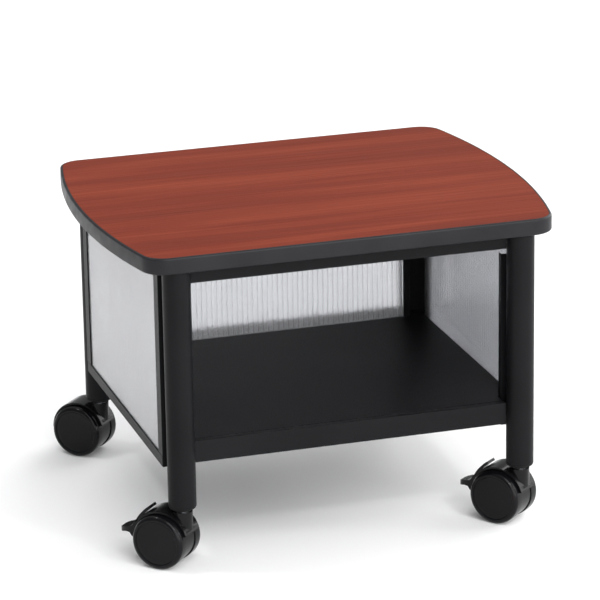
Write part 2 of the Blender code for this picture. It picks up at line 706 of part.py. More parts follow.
def build_casters(frame, zinc):
    plastic = material("caster_plastic", (0.02, 0.02, 0.021), 0.4)
    tyre = material("caster_wheel", (0.018, 0.018, 0.019), 0.35)
    wheel = wheel_mesh()
    hoods = {braked: hood_mesh(braked) for braked in (False, True)}
    lever = lever_mesh()
    axle = turned([(AXLE_RADIUS, -AXLE_HALF_LENGTH), (AXLE_RADIUS, AXLE_HALF_LENGTH)], INNER_STEPS)
    pin = turned([(PIN_RADIUS, -PIN_HALF_LENGTH), (PIN_RADIUS, PIN_HALF_LENGTH)], INNER_STEPS)
    for name, side_x, side_y, heading, braked in CASTERS:
        swivel = empty(name + "_swivel", frame, (side_x * LEG_X, side_y * LEG_Y, 0), (0, 0, radians(heading)))
        place(name + "_caster_hood", hoods[braked], plastic, swivel, smooth=True)
        hub = (TRAIL, 0, WHEEL_RADIUS)
        place(name + "_axle", axle, zinc, swivel, hub, (pi / 2, 0, 0), smooth=True)
        place(name + "_wheel_a", wheel, tyre, swivel, hub, (-pi / 2, 0, 0), smooth=True)
        place(name + "_wheel_b", wheel, tyre, swivel, hub, (pi / 2, 0, 0), smooth=True)
        if braked:
            along, up = polar(*PIN_PLACE)
            place(name + "_brake_lever", lever, plastic, swivel, (along, 0, up), smooth=True)
            place(name + "_brake_pin", pin, zinc, swivel, (along, 0, up), (pi / 2, 0, 0), smooth=True)


def main():
    for obj in list(bpy.data.objects):
        bpy.data.objects.remove(obj)
    steel = material("black_powder_coat", (0.025, 0.025, 0.027), 0.5)
    plastic = material("socket_plastic", (0.02, 0.02, 0.02), 0.5)
    zinc = material("zinc_plated_steel", (0.55, 0.56, 0.58), 0.35, metallic=1.0)
    frame = empty("stand_frame", location=(0, centre_shift(), 0))
    build_top(frame)
    build_legs(frame, steel, plastic, zinc)
    build_aprons(frame, steel)
    build_screws(frame, zinc)
    build_crossbars(frame, steel)
    build_deck(frame, steel)
    build_side_frames(frame, steel)
    build_panels(frame, steel)
    build_casters(frame, zinc)


main()
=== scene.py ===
"""The mobile printer stand's looks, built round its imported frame. Metres, +Z up, the open front faces -Y."""

import json
from math import asin, atan2, cos, degrees, pi, radians, sin, sqrt

import bmesh
import bpy
from mathutils import Matrix, Vector


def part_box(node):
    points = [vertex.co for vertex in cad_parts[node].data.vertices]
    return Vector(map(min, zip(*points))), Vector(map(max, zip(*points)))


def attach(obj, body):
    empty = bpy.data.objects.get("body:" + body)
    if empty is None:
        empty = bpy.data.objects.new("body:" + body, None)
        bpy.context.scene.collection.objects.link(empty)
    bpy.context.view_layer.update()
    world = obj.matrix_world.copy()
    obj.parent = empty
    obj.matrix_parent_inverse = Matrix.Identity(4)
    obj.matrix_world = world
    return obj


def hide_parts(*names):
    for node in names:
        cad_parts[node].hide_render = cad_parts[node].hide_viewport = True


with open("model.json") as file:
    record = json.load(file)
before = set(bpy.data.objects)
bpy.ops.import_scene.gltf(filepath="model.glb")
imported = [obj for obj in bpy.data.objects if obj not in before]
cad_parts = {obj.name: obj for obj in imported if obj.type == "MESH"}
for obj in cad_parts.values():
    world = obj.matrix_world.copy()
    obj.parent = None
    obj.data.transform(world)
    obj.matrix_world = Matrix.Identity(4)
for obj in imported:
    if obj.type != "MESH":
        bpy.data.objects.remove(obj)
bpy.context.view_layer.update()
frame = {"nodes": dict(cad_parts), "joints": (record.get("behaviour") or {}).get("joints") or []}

# Camera: an ordinary lens, from the front left
CAMERA_PLACE = (-1.1331, -3.7128, 1.5037)
CAMERA_AIM = (0.0031, 0.0, 0.2275)
CAMERA_ROLL = -0.95
CAMERA_LENS = 209.0

# Lights: heading and height in degrees, strength, spread in degrees
SUNS = (
    ("key", 2, 52, 1.1, 35),
    ("right_rear", 112, 21, 3.0, 70),
    ("right_front", 50, 14, 1.0, 60),
    ("low_front", 8, 12, 2.4, 60),
    ("overhead", 180, 78, 0.5, 80),
)
ROOM_LIGHT = 0.45

# Small bright softboxes for the gloss: direction, distance, side, power
SOFTBOXES = (
    ("softbox_left", (-0.50, 0.07, 0.85), 1.8, 0.12, 4.0),
    ("softbox_front", (0.26, -0.69, 0.67), 1.9, 0.12, 4.0),
    ("softbox_right", (0.85, -0.35, 0.40), 1.8, 0.12, 3.0),
)

CORNERS = ("front_left", "front_right", "rear_left", "rear_right")
BRAKED = ("front_left", "front_right")
GAP = 0.0003
CUT_REACH = 0.02  # half the length of a cutting shape that goes right through a small piece
FINE_STEPS = 96
SMALL_STEPS = 48

# The top
CORNER_HALF_WIDTH = 0.2338
CORNER_RADIUS = 0.028
BAND_THICKNESS = 0.003
BAND_EDGE_RADIUS = 0.0024
BAND_JOINT = 0.00012  # the fine joint between board and band
BOARD_EDGE = 0.0002

# The legs
LEG_RADIUS = 0.015875
LEG_WALL = 0.0015
LEG_EDGE = 0.0004
SOCKET_BORE = 0.0058
SOCKET_PLUG = 0.0140
SOCKET_FLANGE = 0.0013
SOCKET_FLANGE_RADIUS = 0.0152
SOCKET_BOSS_RADIUS = 0.0108
STEM_RADIUS = 0.0055
STEM_COLLAR_RADIUS = 0.0085
STEM_BEVEL = 0.001
# Points of the stem's groove as (below the stem's top, depth)
STEM_GROOVE = ((0.0040, 0.0), (0.0035, 0.0008), (0.0020, 0.0008), (0.0015, 0.0))

# The twin-wall panels
RIB_PITCH = 0.0064
RIB_THICKNESS = 0.0007
SKIN_THICKNESS = 0.0006

# Folded sheet
SHEET_EDGE = 0.0005
WELD_DISTANCE = 0.00001

# The casters, in a frame with its origin under the swivel axis, +X along the trail and Y along the axle
TRAIL = 0.0215
WHEEL_RADIUS = 0.03175
WHEEL_OUTER_FACE = 0.0248
WHEEL_INNER_FACE = 0.0100
WHEEL_EDGE_RADIUS = 0.005
WHEEL_TYRE = 0.0047
WHEEL_BACK = 0.0188
WHEEL_HUB_RADIUS = 0.0075
WHEEL_CROWN = 0.0001
WHEEL_INNER_BEVEL = (0.0008, 0.0007)  # inwards, along the axle
# Points of the groove round the wheel's face as (inwards from the round edge, below the face)
WHEEL_GROOVE = ((0.0006, 0.0), (0.0009, 0.0007), (0.0014, 0.0009), (0.0020, 0.0007))
WHEEL_FACE_SINK = 0.0003
WHEEL_FACE_DOME = 0.0004
WHEEL_TIP_RADIUS = 0.0002
WHEEL_STEPS = 128
TREAD_STEPS = 6
AXLE_RADIUS = 0.0026
AXLE_HALF_LENGTH = 0.018
AXLE_BEVEL = 0.0004
AXLE_HOLE_REACH = 0.012
HOOD_RADIUS = 0.035
HOOD_INNER_RADIUS = 0.0327
HOOD_HALF_WIDTH = 0.016
HOOD_LEADING_ANGLE = 163
WEB_RADIUS = 0.0305
WEB_HALF_WIDTH = 0.0093
WEB_LOWEST = 0.003
COLUMN_RADIUS = 0.0113
COLUMN_TOP = 0.0668
COLUMN_BOTTOM = 0.045
STEM_BOTTOM = 0.0607
STEM_END_ROOM = 0.001
STEM_HOLE_REACH = 0.01
HOOD_CUT_END = 0.03
HOOD_EDGE = 0.0005

# The brake levers, in angles and (along, up) points about the axle
LEVER_HALF_WIDTH = 0.0115
LEVER_INNER_RADIUS = 0.0356
LEVER_OUTER_RADIUS = 0.0386
LEVER_LOWEST_ANGLE = -2
LEVER_ROOT_ANGLE = 26
TAB_HALF_WIDTH = 0.0075
TAB_START_ANGLE = 16
TAB_LIFT_ANGLE = 44
TAB_TIP_ANGLE = 65.5
TAB_TIP_TAPER = 1.0  # degrees from the tip's inner corner back to its outer corner
TAB_INNER_LIFT = 0.0015
TAB_OUTER_LIFT = 0.0017
TAB_LIFT_CURVE = 1.5
TAB_LIFT_STEPS = 12
PEDAL_TOP = ((0.0366, 0.0126), (0.0380, 0.0113), (0.0400, 0.0103), (0.0430, 0.0095), (0.0460, 0.0087),
             (0.0490, 0.0079), (0.0520, 0.0070), (0.0540, 0.0062), (0.0552, 0.0055), (0.0561, 0.0046))
PEDAL_NOSE = ((0.0566, 0.0034), (0.0567, 0.0026), (0.0566, 0.0018), (0.0561, 0.0010), (0.0554, 0.0004))
PEDAL_UNDERSIDE = ((0.0540, 0.0004), (0.0520, 0.0010), (0.0490, 0.0020), (0.0460, 0.0028), (0.0435, 0.0028),
                   (0.0410, 0.0024))
PEDAL_PLAN_START = 0.02
PEDAL_PLAN_TOP = 0.1
PEDAL_ROUND_START = 0.0400
PEDAL_LENGTH = 0.0166
PEDAL_STEPS = 40
GROOVES = 5
GROOVE_START = 0.0035
GROOVE_PITCH = 0.0023
GROOVE_WIDTH = 0.0009
GROOVE_DEPTH = 0.0008
GROOVE_TOP = 0.01
FIRST_GROOVE_UP = 0.0097
GROOVE_DROP = 0.0007
PIN_RADIUS = 0.0012
PIN_HALF_LENGTH = 0.0104
PIN_BEVEL = 0.0003
PIN_PLACE = (0.035, 24)
BOSS_RADIUS = 0.0026
LUG_RADIUS = 0.0020
BOSS_SLOT_CLEARANCE = 0.0001
BOSS_SLOT_HALF_WIDTH = 0.005
LUG_HALF_WIDTH = 0.0044
LUG_NECK_HALF_WIDTH = 0.0015
LUG_NECK_START = 0.026
LEVER_ROOM = 0.0005
LEVER_SLOT_RADII = (0.0315, 0.045)
LEVER_SLOT_ANGLES = (-30, 37)
LEVER_EDGE = 0.0004

# The screws
SCREW_RADIUS = 0.0019
SCREW_ROOT_RADIUS = 0.0016
SCREW_HEAD_RADIUS = 0.004
SCREW_HEAD_HEIGHT = 0.0018
SCREW_PITCH = 0.0011
SCREW_RECESS_FLOOR_RADIUS = 0.0010
SCREW_RECESS_RIM_RADIUS = 0.0014
SCREW_RECESS_DEPTH = 0.0008
SCREW_PLAIN_LENGTH = 0.0004
SCREW_THREAD_END = 0.0020  # no turn starts closer to the point's end than this
SCREW_POINT_LENGTH = 0.0018
SCREW_POINT_RADIUS = 0.0005

FLOOR_SIZE = 60


# Materials


class Look:
    """A Principled material, with short ways to add nodes to it."""

    def __init__(self, name, colour, roughness, metallic=0.0, **sockets):
        self.material = bpy.data.materials.new(name)
        self.material.use_nodes = True
        self.tree = self.material.node_tree
        self.shader = self.tree.nodes["Principled BSDF"]
        self.set("Base Color", (*colour, 1.0))
        self.set("Roughness", roughness)
        self.set("Metallic", metallic)
        for socket, value in sockets.items():
            self.set(socket.replace("_", " "), value)
        self.place = self.tree.nodes.new("ShaderNodeTexCoord").outputs["Object"]

    def set(self, socket, value):
        self.shader.inputs[socket].default_value = value

    def node(self, kind, inputs, **settings):
        """A node with its settings and its inputs; an input is a value or another node's output."""
        made = self.tree.nodes.new(kind)
        for name, value in settings.items():
            setattr(made, name, value)
        for name, value in inputs.items():
            if isinstance(value, bpy.types.NodeSocket):
                self.tree.links.new(value, made.inputs[name])
            else:
                made.inputs[name].default_value = value
        return made

    def noise(self, scale, detail=3.0, stretch=(1, 1, 1), distortion=0.0):
        mapping = self.node("ShaderNodeMapping", {"Vector": self.place, "Scale": stretch})
        vector = mapping.outputs["Vector"]
        inputs = {"Vector": vector, "Scale": scale, "Detail": detail, "Distortion": distortion}
        return self.node("ShaderNodeTexNoise", inputs).outputs["Fac"]

    def ramp(self, value, *stops):
        made = self.node("ShaderNodeValToRGB", {"Fac": value})
        elements = made.color_ramp.elements
        while len(elements) < len(stops):
            elements.new(0.5)
        for element, (position, colour) in zip(elements, stops):
            element.position = position
            element.color = (*colour, 1.0)
        return made.outputs["Color"]

    def between(self, value, low, high, start=0.3, end=0.7):
        """A number that goes from low to high as value goes from start to end."""
        inputs = {"Value": value, "From Min": start, "From Max": end, "To Min": low, "To Max": high}
        return self.node("ShaderNodeMapRange", inputs).outputs["Result"]

    def mix(self, factor, first, second):
        inputs = {0: factor, 6: first, 7: second}
        inputs = {key: (*value, 1.0) if isinstance(value, tuple) else value for key, value in inputs.items()}
        return self.node("ShaderNodeMix", inputs, data_type="RGBA").outputs[2]

    def bump(self, height, distance, strength=1.0, under=None):
        inputs = {"Height": height, "Distance": distance, "Strength": strength}
        if under:
            inputs["Normal"] = under
        return self.node("ShaderNodeBump", inputs).outputs["Normal"]

    def finish(self, **sockets):
        for socket, output in sockets.items():
            self.tree.links.new(output, self.shader.inputs[socket.replace("_", " ")])
        return self.material


def wood_laminate():
    """Cherry laminate: grain along X in soft bands, fine dark pores, a satin press finish."""
    look = Look("wood_laminate", (0.165, 0.025, 0.0095), 0.42, Specular_IOR_Level=0.05)
    bands = look.noise(2.2, 4.0, (0.8, 15.0, 1.0), 0.5)
    figure = look.ramp(
        bands,
        (0.30, (0.128, 0.0175, 0.0068)),
        (0.50, (0.166, 0.0250, 0.0095)),
        (0.70, (0.208, 0.0350, 0.0130)),
    )
    streaks = look.noise(5.0, 5.0, (1.0, 70.0, 1.0), 0.2)
    streaked = look.mix(look.between(streaks, 0.0, 0.40), figure, (0.105, 0.0165, 0.0085))
    pores = look.noise(30.0, 2.0, (1.0, 42.0, 1.0))
    pored = look.mix(look.between(pores, 0.0, 0.30, 0.55, 0.72), streaked, (0.060, 0.0090, 0.0050))
    fine = look.bump(look.noise(900.0, 2.0), 0.00003, 0.4)
    return look.finish(
        Base_Color=pored,
        Roughness=look.between(streaks, 0.36, 0.48),
        Normal=look.bump(pores, 0.00004, 0.5, fine),
    )


def moulded(name, colour, roughness, texture=1500.0, depth=0.00003, **sockets):
    """Moulded plastic: a fine even texture, slight clouding in colour and gloss."""
    look = Look(name, colour, roughness, **sockets)
    dark = tuple(c * 0.8 for c in colour)
    light = tuple(c * 1.3 + 0.001 for c in colour)
    return look.finish(
        Base_Color=look.ramp(look.noise(14.0, 3.0), (0.3, dark), (0.7, light)),
        Roughness=look.between(look.noise(60.0, 4.0), roughness - 0.05, roughness + 0.07),
        Normal=look.bump(look.noise(texture, 2.0), depth, 0.6),
    )


def powder_coat():
    """Black powder coat: orange peel over steel, with fine lighter flecks."""
    look = Look("black_powder_coat", (0.0055, 0.0055, 0.006), 0.42, Specular_IOR_Level=0.09)
    peel = look.noise(650.0, 3.0)
    speckle = look.noise(2600.0, 1.0)
    tone = look.ramp(look.noise(9.0, 3.0), (0.3, (0.0042, 0.0042, 0.0048)), (0.7, (0.0070, 0.0070, 0.0078)))
    flecked = look.mix(look.between(speckle, 0.0, 0.25), tone, (0.014, 0.014, 0.0155))
    fine = look.bump(speckle, 0.00003, 0.3)
    return look.finish(
        Base_Color=flecked,
        Roughness=look.between(peel, 0.36, 0.50),
        Normal=look.bump(peel, 0.0001, 0.35, fine),
    )


def clear_panel():
    """Translucent polycarbonate sheet, milky, with a faint satin clouding."""
    look = Look("ribbed_clear_panel", (0.92, 0.925, 0.945), 0.22, IOR=1.45, Transmission_Weight=0.86,
                Specular_IOR_Level=0.3)
    cloud = look.noise(9.0, 3.0, (1, 1, 0.4))
    return look.finish(
        Base_Color=look.ramp(cloud, (0.3, (0.895, 0.902, 0.922)), (0.7, (0.94, 0.945, 0.962))),
        Roughness=look.between(look.noise(35.0, 3.0), 0.20, 0.25),
        Normal=look.bump(look.noise(700.0, 2.0), 0.00002, 0.3),
    )


def zinc():
    """Zinc plate: bright passivated steel with fine turning lines."""
    look = Look("zinc_plated_steel", (0.56, 0.57, 0.60), 0.32, 1.0)
    rings = look.noise(40.0, 2.0, (1, 1, 60.0))
    tone = look.ramp(look.noise(220.0, 4.0), (0.3, (0.46, 0.47, 0.50)), (0.7, (0.64, 0.65, 0.67)))
    return look.finish(
        Base_Color=tone, Roughness=look.between(rings, 0.24, 0.40), Normal=look.bump(rings, 0.00002, 0.4)
    )


LAMINATE = wood_laminate()
BAND = moulded("edge_band", (0.011, 0.011, 0.0125), 0.40, 900.0, 0.00004, Specular_IOR_Level=0.18)
STEEL = powder_coat()
PANEL = clear_panel()
SOCKET = moulded("socket_plastic", (0.004, 0.004, 0.004), 0.45, Specular_IOR_Level=0.15)
CASTER = moulded("caster_plastic", (0.0035, 0.0035, 0.004), 0.20, 1200.0, 0.00002, Specular_IOR_Level=0.18)
WHEEL = moulded("wheel_plastic", (0.0028, 0.0028, 0.0034), 0.12, 1800.0, 0.00001, Specular_IOR_Level=0.15)
ZINC = zinc()


# Building blocks


def body_of(loops, wrap=False):
    """A closed body through loops of equal length; wrap joins the last loop to the first, for a ring."""
    bm = bmesh.new()
    rows = [[bm.verts.new(point) for point in loop] for loop in loops]
    count = len(rows[0])
    pairs = list(zip(rows, rows[1:]))
    if wrap:
        pairs.append((rows[-1], rows[0]))
    for row, following in pairs:
        for i in range(count):
            j = (i + 1) % count
            bm.faces.new((row[i], row[j], following[j], following[i]))
    if not wrap:
        bm.faces.new(rows[0])
        bm.faces.new(rows[-1])
    bmesh.ops.recalc_face_normals(bm, faces=bm.faces)
    mesh = bpy.data.meshes.new("body")
    bm.to_mesh(mesh)
    bm.free()
    return mesh


def circle(radius, height, steps):
    angles = [2 * pi * i / steps for i in range(steps)]
    return [(radius * cos(a), radius * sin(a), height) for a in angles]


def turned(profile, steps=FINE_STEPS, wrap=False):
    """A body turned about Z from (radius, height) points."""
    return body_of([circle(radius, height, steps) for radius, height in profile], wrap)


def prism(outline, low, high, axis="Z"):
    """An outline pushed from low to high along an axis. Along Y it is given as (x, z)."""
    order = {"Y": lambda p, h: (p[0], h, p[1]), "Z": lambda p, h: (p[0], p[1], h)}[axis]
    return body_of([[order(p, low) for p in outline], [order(p, high) for p in outline]])


def arc(centre, radius, start, end, steps=8):
    """Points on an arc, angles in degrees."""
    angles = [radians(start + (end - start) * i / steps) for i in range(steps + 1)]
    return [(centre[0] + radius * cos(a), centre[1] + radius * sin(a)) for a in angles]


def ring(centre, radius, steps=24):
    return arc(centre, radius, 0, 360 - 360 / steps, steps - 1)


def combined(base, steps):
    """A mesh made from base by joining and cutting with other meshes, in order."""
    first = bpy.data.objects.new("working", base)
    bpy.context.scene.collection.objects.link(first)
    others = []
    for operation, mesh in steps:
        other = bpy.data.objects.new("working_tool", mesh)
        bpy.context.scene.collection.objects.link(other)
        others.append(other)
        step = first.modifiers.new(operation, "BOOLEAN")
        step.operation = operation
        step.object = other
    bpy.context.view_layer.update()
    graph = bpy.context.evaluated_depsgraph_get()
    mesh = bpy.data.meshes.new_from_object(first.evaluated_get(graph))
    for obj in [first, *others]:
        bpy.data.objects.remove(obj)
    return mesh


def soften(obj, width):
    """Rounded edges, where faces meet at more than a gentle angle."""
    bevel = obj.modifiers.new("soft_edges", "BEVEL")
    bevel.width = width
    bevel.segments = 3
    bevel.limit_method = "ANGLE"
    bevel.angle_limit = radians(40)
    bevel.harden_normals = True


def piece(name, mesh, material, node, where=None, edges=0.0, body="frame", smooth=True):
    """One visible piece that stands for a CAD node and rides on its body. A turn goes into its mesh."""
    where = where or Matrix.Identity(4)
    mesh.transform(where.to_3x3().to_4x4())
    obj = bpy.data.objects.new(name, mesh)
    bpy.context.scene.collection.objects.link(obj)
    obj.matrix_world = Matrix.Translation(where.translation)
    mesh.materials.clear()
    mesh.materials.append(material)
    if smooth:
        mesh.shade_smooth()
        mesh.set_sharp_from_angle(angle=radians(40))
    if edges:
        soften(obj, edges)
    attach(obj, body)
    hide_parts(node)
    return obj


def centre_of(node):
    """The middle of a CAD node's box, seen from above, as a move along X and Y."""
    low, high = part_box(node)
    return Matrix.Translation(((low.x + high.x) / 2, (low.y + high.y) / 2, 0))


# The top


def top_outline(inset, height, side_steps=36, corner_steps=14):
    """The top's outline, inset all round: straight front and back, round corners, bowed sides."""
    low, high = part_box("top_edge_band")
    middle = (low + high) / 2
    half_width = (high.x - low.x) / 2
    half_depth = (high.y - low.y) / 2
    bow = half_width - CORNER_HALF_WIDTH
    side_radius = (half_depth**2 + bow**2) / (2 * bow)
    side_centre = half_width - side_radius
    corner_y = half_depth - CORNER_RADIUS
    corner_x = side_centre + sqrt((side_radius - CORNER_RADIUS) ** 2 - corner_y**2)
    turn = degrees(atan2(corner_y, corner_x - side_centre))
    quarter = arc((side_centre, 0), side_radius - inset, 0, turn, side_steps)
    quarter += arc((corner_x, corner_y), CORNER_RADIUS - inset, turn, 90, corner_steps)[1:]
    half = quarter + [(-x, y) for x, y in reversed(quarter)]
    whole = half + [(-x, -y) for x, y in half[1:-1]]
    return [(middle.x + x, middle.y + y, height) for x, y in whole]


def build_top():
    low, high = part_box("top_edge_band")
    radius = BAND_EDGE_RADIUS
    lower = [(radius - x, low.z + radius + z) for x, z in arc((0, 0), radius, -90, 0)]
    upper = [(radius - x, high.z - radius + z) for x, z in arc((0, 0), radius, 0, 90)]
    section = [(BAND_THICKNESS, low.z), *lower, *upper, (BAND_THICKNESS, high.z)]
    band = body_of([top_outline(inset, height) for inset, height in section], wrap=True)
    piece("edge_band", band, BAND, "top_edge_band")
    outline = [(x, y) for x, y, _ in top_outline(BAND_THICKNESS + BAND_JOINT, 0)]
    piece("laminate_top", prism(outline, low.z, high.z), LAMINATE, "top_board", edges=BOARD_EDGE)


# The legs


def build_leg(corner):
    node = corner + "_leg"
    where = centre_of(node)
    low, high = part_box(node)
    inner = LEG_RADIUS - LEG_WALL
    profile = [(LEG_RADIUS - LEG_EDGE, low.z), (LEG_RADIUS, low.z + LEG_EDGE), (LEG_RADIUS, high.z),
               (inner, high.z), (inner, low.z)]
    piece(node + "_tube", turned(profile, wrap=True), STEEL, node, where)

    node = corner + "_leg_socket"
    socket_low, socket_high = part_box(node)
    flange_low = low.z - GAP - SOCKET_FLANGE
    profile = [
        (SOCKET_BORE, socket_low.z),
        (SOCKET_BOSS_RADIUS - LEG_EDGE, socket_low.z),
        (SOCKET_BOSS_RADIUS, socket_low.z + LEG_EDGE),
        (SOCKET_BOSS_RADIUS, flange_low),
        (SOCKET_FLANGE_RADIUS - LEG_EDGE, flange_low),
        (SOCKET_FLANGE_RADIUS, flange_low + LEG_EDGE),
        (SOCKET_FLANGE_RADIUS, low.z - GAP),
        (SOCKET_PLUG, low.z - GAP),
        (SOCKET_PLUG, socket_high.z),
        (SOCKET_BORE, socket_high.z),
    ]
    piece(node + "_insert", turned(profile, wrap=True), SOCKET, node, where)

    node = corner + "_caster_stem"
    stem_low, stem_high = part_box(node)
    collar_low = COLUMN_TOP + GAP
    collar_high = socket_low.z - GAP
    profile = [
        (STEM_RADIUS - LEG_EDGE, stem_low.z),
        (STEM_RADIUS, stem_low.z + LEG_EDGE),
        (STEM_RADIUS, collar_low),
        (STEM_COLLAR_RADIUS, collar_low),
        (STEM_COLLAR_RADIUS, collar_high),
        (STEM_RADIUS, collar_high),
        *((STEM_RADIUS - depth, stem_high.z - below) for below, depth in STEM_GROOVE),
        (STEM_RADIUS - STEM_BEVEL, stem_high.z),
    ]
    piece(node + "_turned", turned(profile, SMALL_STEPS), ZINC, node, where)


# The panels


def panel_mesh(width, thickness, height):
    """Twin-wall sheet: two skins and the ribs between, open above and below. X across, Y through, Z up."""
    cells = round((width - RIB_THICKNESS) / RIB_PITCH)
    pitch = (width - RIB_THICKNESS) / cells
    across = []
    for i in range(cells + 1):
        across += [i * pitch - width / 2, i * pitch + RIB_THICKNESS - width / 2]
    through = [-thickness / 2, SKIN_THICKNESS - thickness / 2, thickness / 2 - SKIN_THICKNESS, thickness / 2]
    columns = len(across) - 1
    bm = bmesh.new()
    grid = {}
    for i, x in enumerate(across):
        for j, y in enumerate(through):
            for k, z in enumerate((0.0, height)):
                grid[i, j, k] = bm.verts.new((x, y, z))

    def filled(i, j):
        in_rib = i % 2 == 0
        return 0 <= i < columns and 0 <= j < 3 and (in_rib or j != 1)

    def wall(i, j, next_i, next_j):
        bm.faces.new((grid[i, j, 0], grid[i, j, 1], grid[next_i, next_j, 1], grid[next_i, next_j, 0]))

    for i in range(columns):
        for j in range(3):
            if not filled(i, j):
                continue
            for k in (0, 1):
                bm.faces.new((grid[i, j, k], grid[i + 1, j, k], grid[i + 1, j + 1, k], grid[i, j + 1, k]))
            if not filled(i - 1, j):
                wall(i, j, i, j + 1)
            if not filled(i + 1, j):
                wall(i + 1, j, i + 1, j + 1)
            if not filled(i, j - 1):
                wall(i, j, i + 1, j)
            if not filled(i, j + 1):
                wall(i, j + 1, i + 1, j + 1)
    bmesh.ops.recalc_face_normals(bm, faces=bm.faces)
    mesh = bpy.data.meshes.new("panel")
    bm.to_mesh(mesh)
    bm.free()
    return mesh


def build_panels():
    for node in ("left_side_panel", "right_side_panel", "back_panel"):
        low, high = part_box(node)
        size = high - low
        sideways = size.x < size.y
        mesh = panel_mesh(max(size.x, size.y), min(size.x, size.y), size.z)
        turn = Matrix.Rotation(radians(90 if sideways else 0), 4, "Z")
        where = centre_of(node) @ Matrix.Translation((0, 0, low.z)) @ turn
        piece(node + "_twin_wall", mesh, PANEL, node, where, smooth=False)


# Sheet metal keeps its CAD shape, with rounded folds and edges


def build_sheet_metal():
    bars = ["front_apron", "rear_apron", "left_apron", "right_apron"]
    bars += ["shelf_front_crossbar", "shelf_rear_crossbar", "shelf_deck"]
    side_bars = ("_front_upright", "_rear_upright", "_bottom_rail", "_back_channel")
    for side in ("left", "right"):
        bars += [side + part for part in side_bars]
    for name in bars:
        obj = frame["nodes"][name]
        obj.data.materials.clear()
        obj.data.materials.append(STEEL)
        weld = obj.modifiers.new("weld", "WELD")
        weld.merge_threshold = WELD_DISTANCE
        soften(obj, SHEET_EDGE)


# The casters


def caster_frame(corner):
    """The caster's own frame in the stand: from its swivel axis towards its axle."""
    places = {joint["name"]: joint["pos_m"] for joint in frame["joints"]}
    swivel = places[corner + "_swivel"]
    spin = places[corner + "_wheel_a_spin"]
    heading = atan2(spin[1] - swivel[1], spin[0] - swivel[0])
    return Matrix.Translation((swivel[0], swivel[1], 0)) @ Matrix.Rotation(heading, 4, "Z")


def polar(radius, angle):
    """A point about the axle, in the caster's frame, as (along, up)."""
    return (TRAIL + radius * cos(radians(angle)), WHEEL_RADIUS + radius * sin(radians(angle)))


def about_axle(radius, start, end, steps=24):
    return arc(polar(0, 0), radius, start, end, steps)


def wheel_mesh():
    """A wheel about Z, outwards from the caster's middle: crowned tread, round edge, a face inside a lip."""
    bore = AXLE_RADIUS + GAP
    lip = WHEEL_RADIUS - WHEEL_EDGE_RADIUS
    profile = [
        (bore, AXLE_HALF_LENGTH + GAP),
        (bore, WHEEL_INNER_FACE),
        (WHEEL_HUB_RADIUS, WHEEL_INNER_FACE),
        (WHEEL_HUB_RADIUS, WHEEL_BACK),
        (WHEEL_RADIUS - WHEEL_TYRE, WHEEL_BACK),
        (WHEEL_RADIUS - WHEEL_TYRE, WHEEL_INNER_FACE),
        (WHEEL_RADIUS - WHEEL_INNER_BEVEL[0], WHEEL_INNER_FACE),
    ]
    tread_low = WHEEL_INNER_FACE + WHEEL_INNER_BEVEL[1]
    tread_high = WHEEL_OUTER_FACE - WHEEL_EDGE_RADIUS
    for i in range(TREAD_STEPS + 1):
        share = i / TREAD_STEPS
        drop = WHEEL_CROWN * (2 * share - 1) ** 2
        profile.append((WHEEL_RADIUS - drop, tread_low + share * (tread_high - tread_low)))
    profile += arc((lip - WHEEL_CROWN, tread_high), WHEEL_EDGE_RADIUS, 0, 90, 14)[1:]
    profile += [(lip - inwards, WHEEL_OUTER_FACE - below) for inwards, below in WHEEL_GROOVE]
    face_radius = lip - WHEEL_GROOVE[-1][0]
    for i in range(1, TREAD_STEPS + 1):
        share = 1 - i / TREAD_STEPS
        below = WHEEL_FACE_SINK + WHEEL_FACE_DOME * share**2
        profile.append((face_radius * share + WHEEL_TIP_RADIUS, WHEEL_OUTER_FACE - below))
    return turned(profile, WHEEL_STEPS)


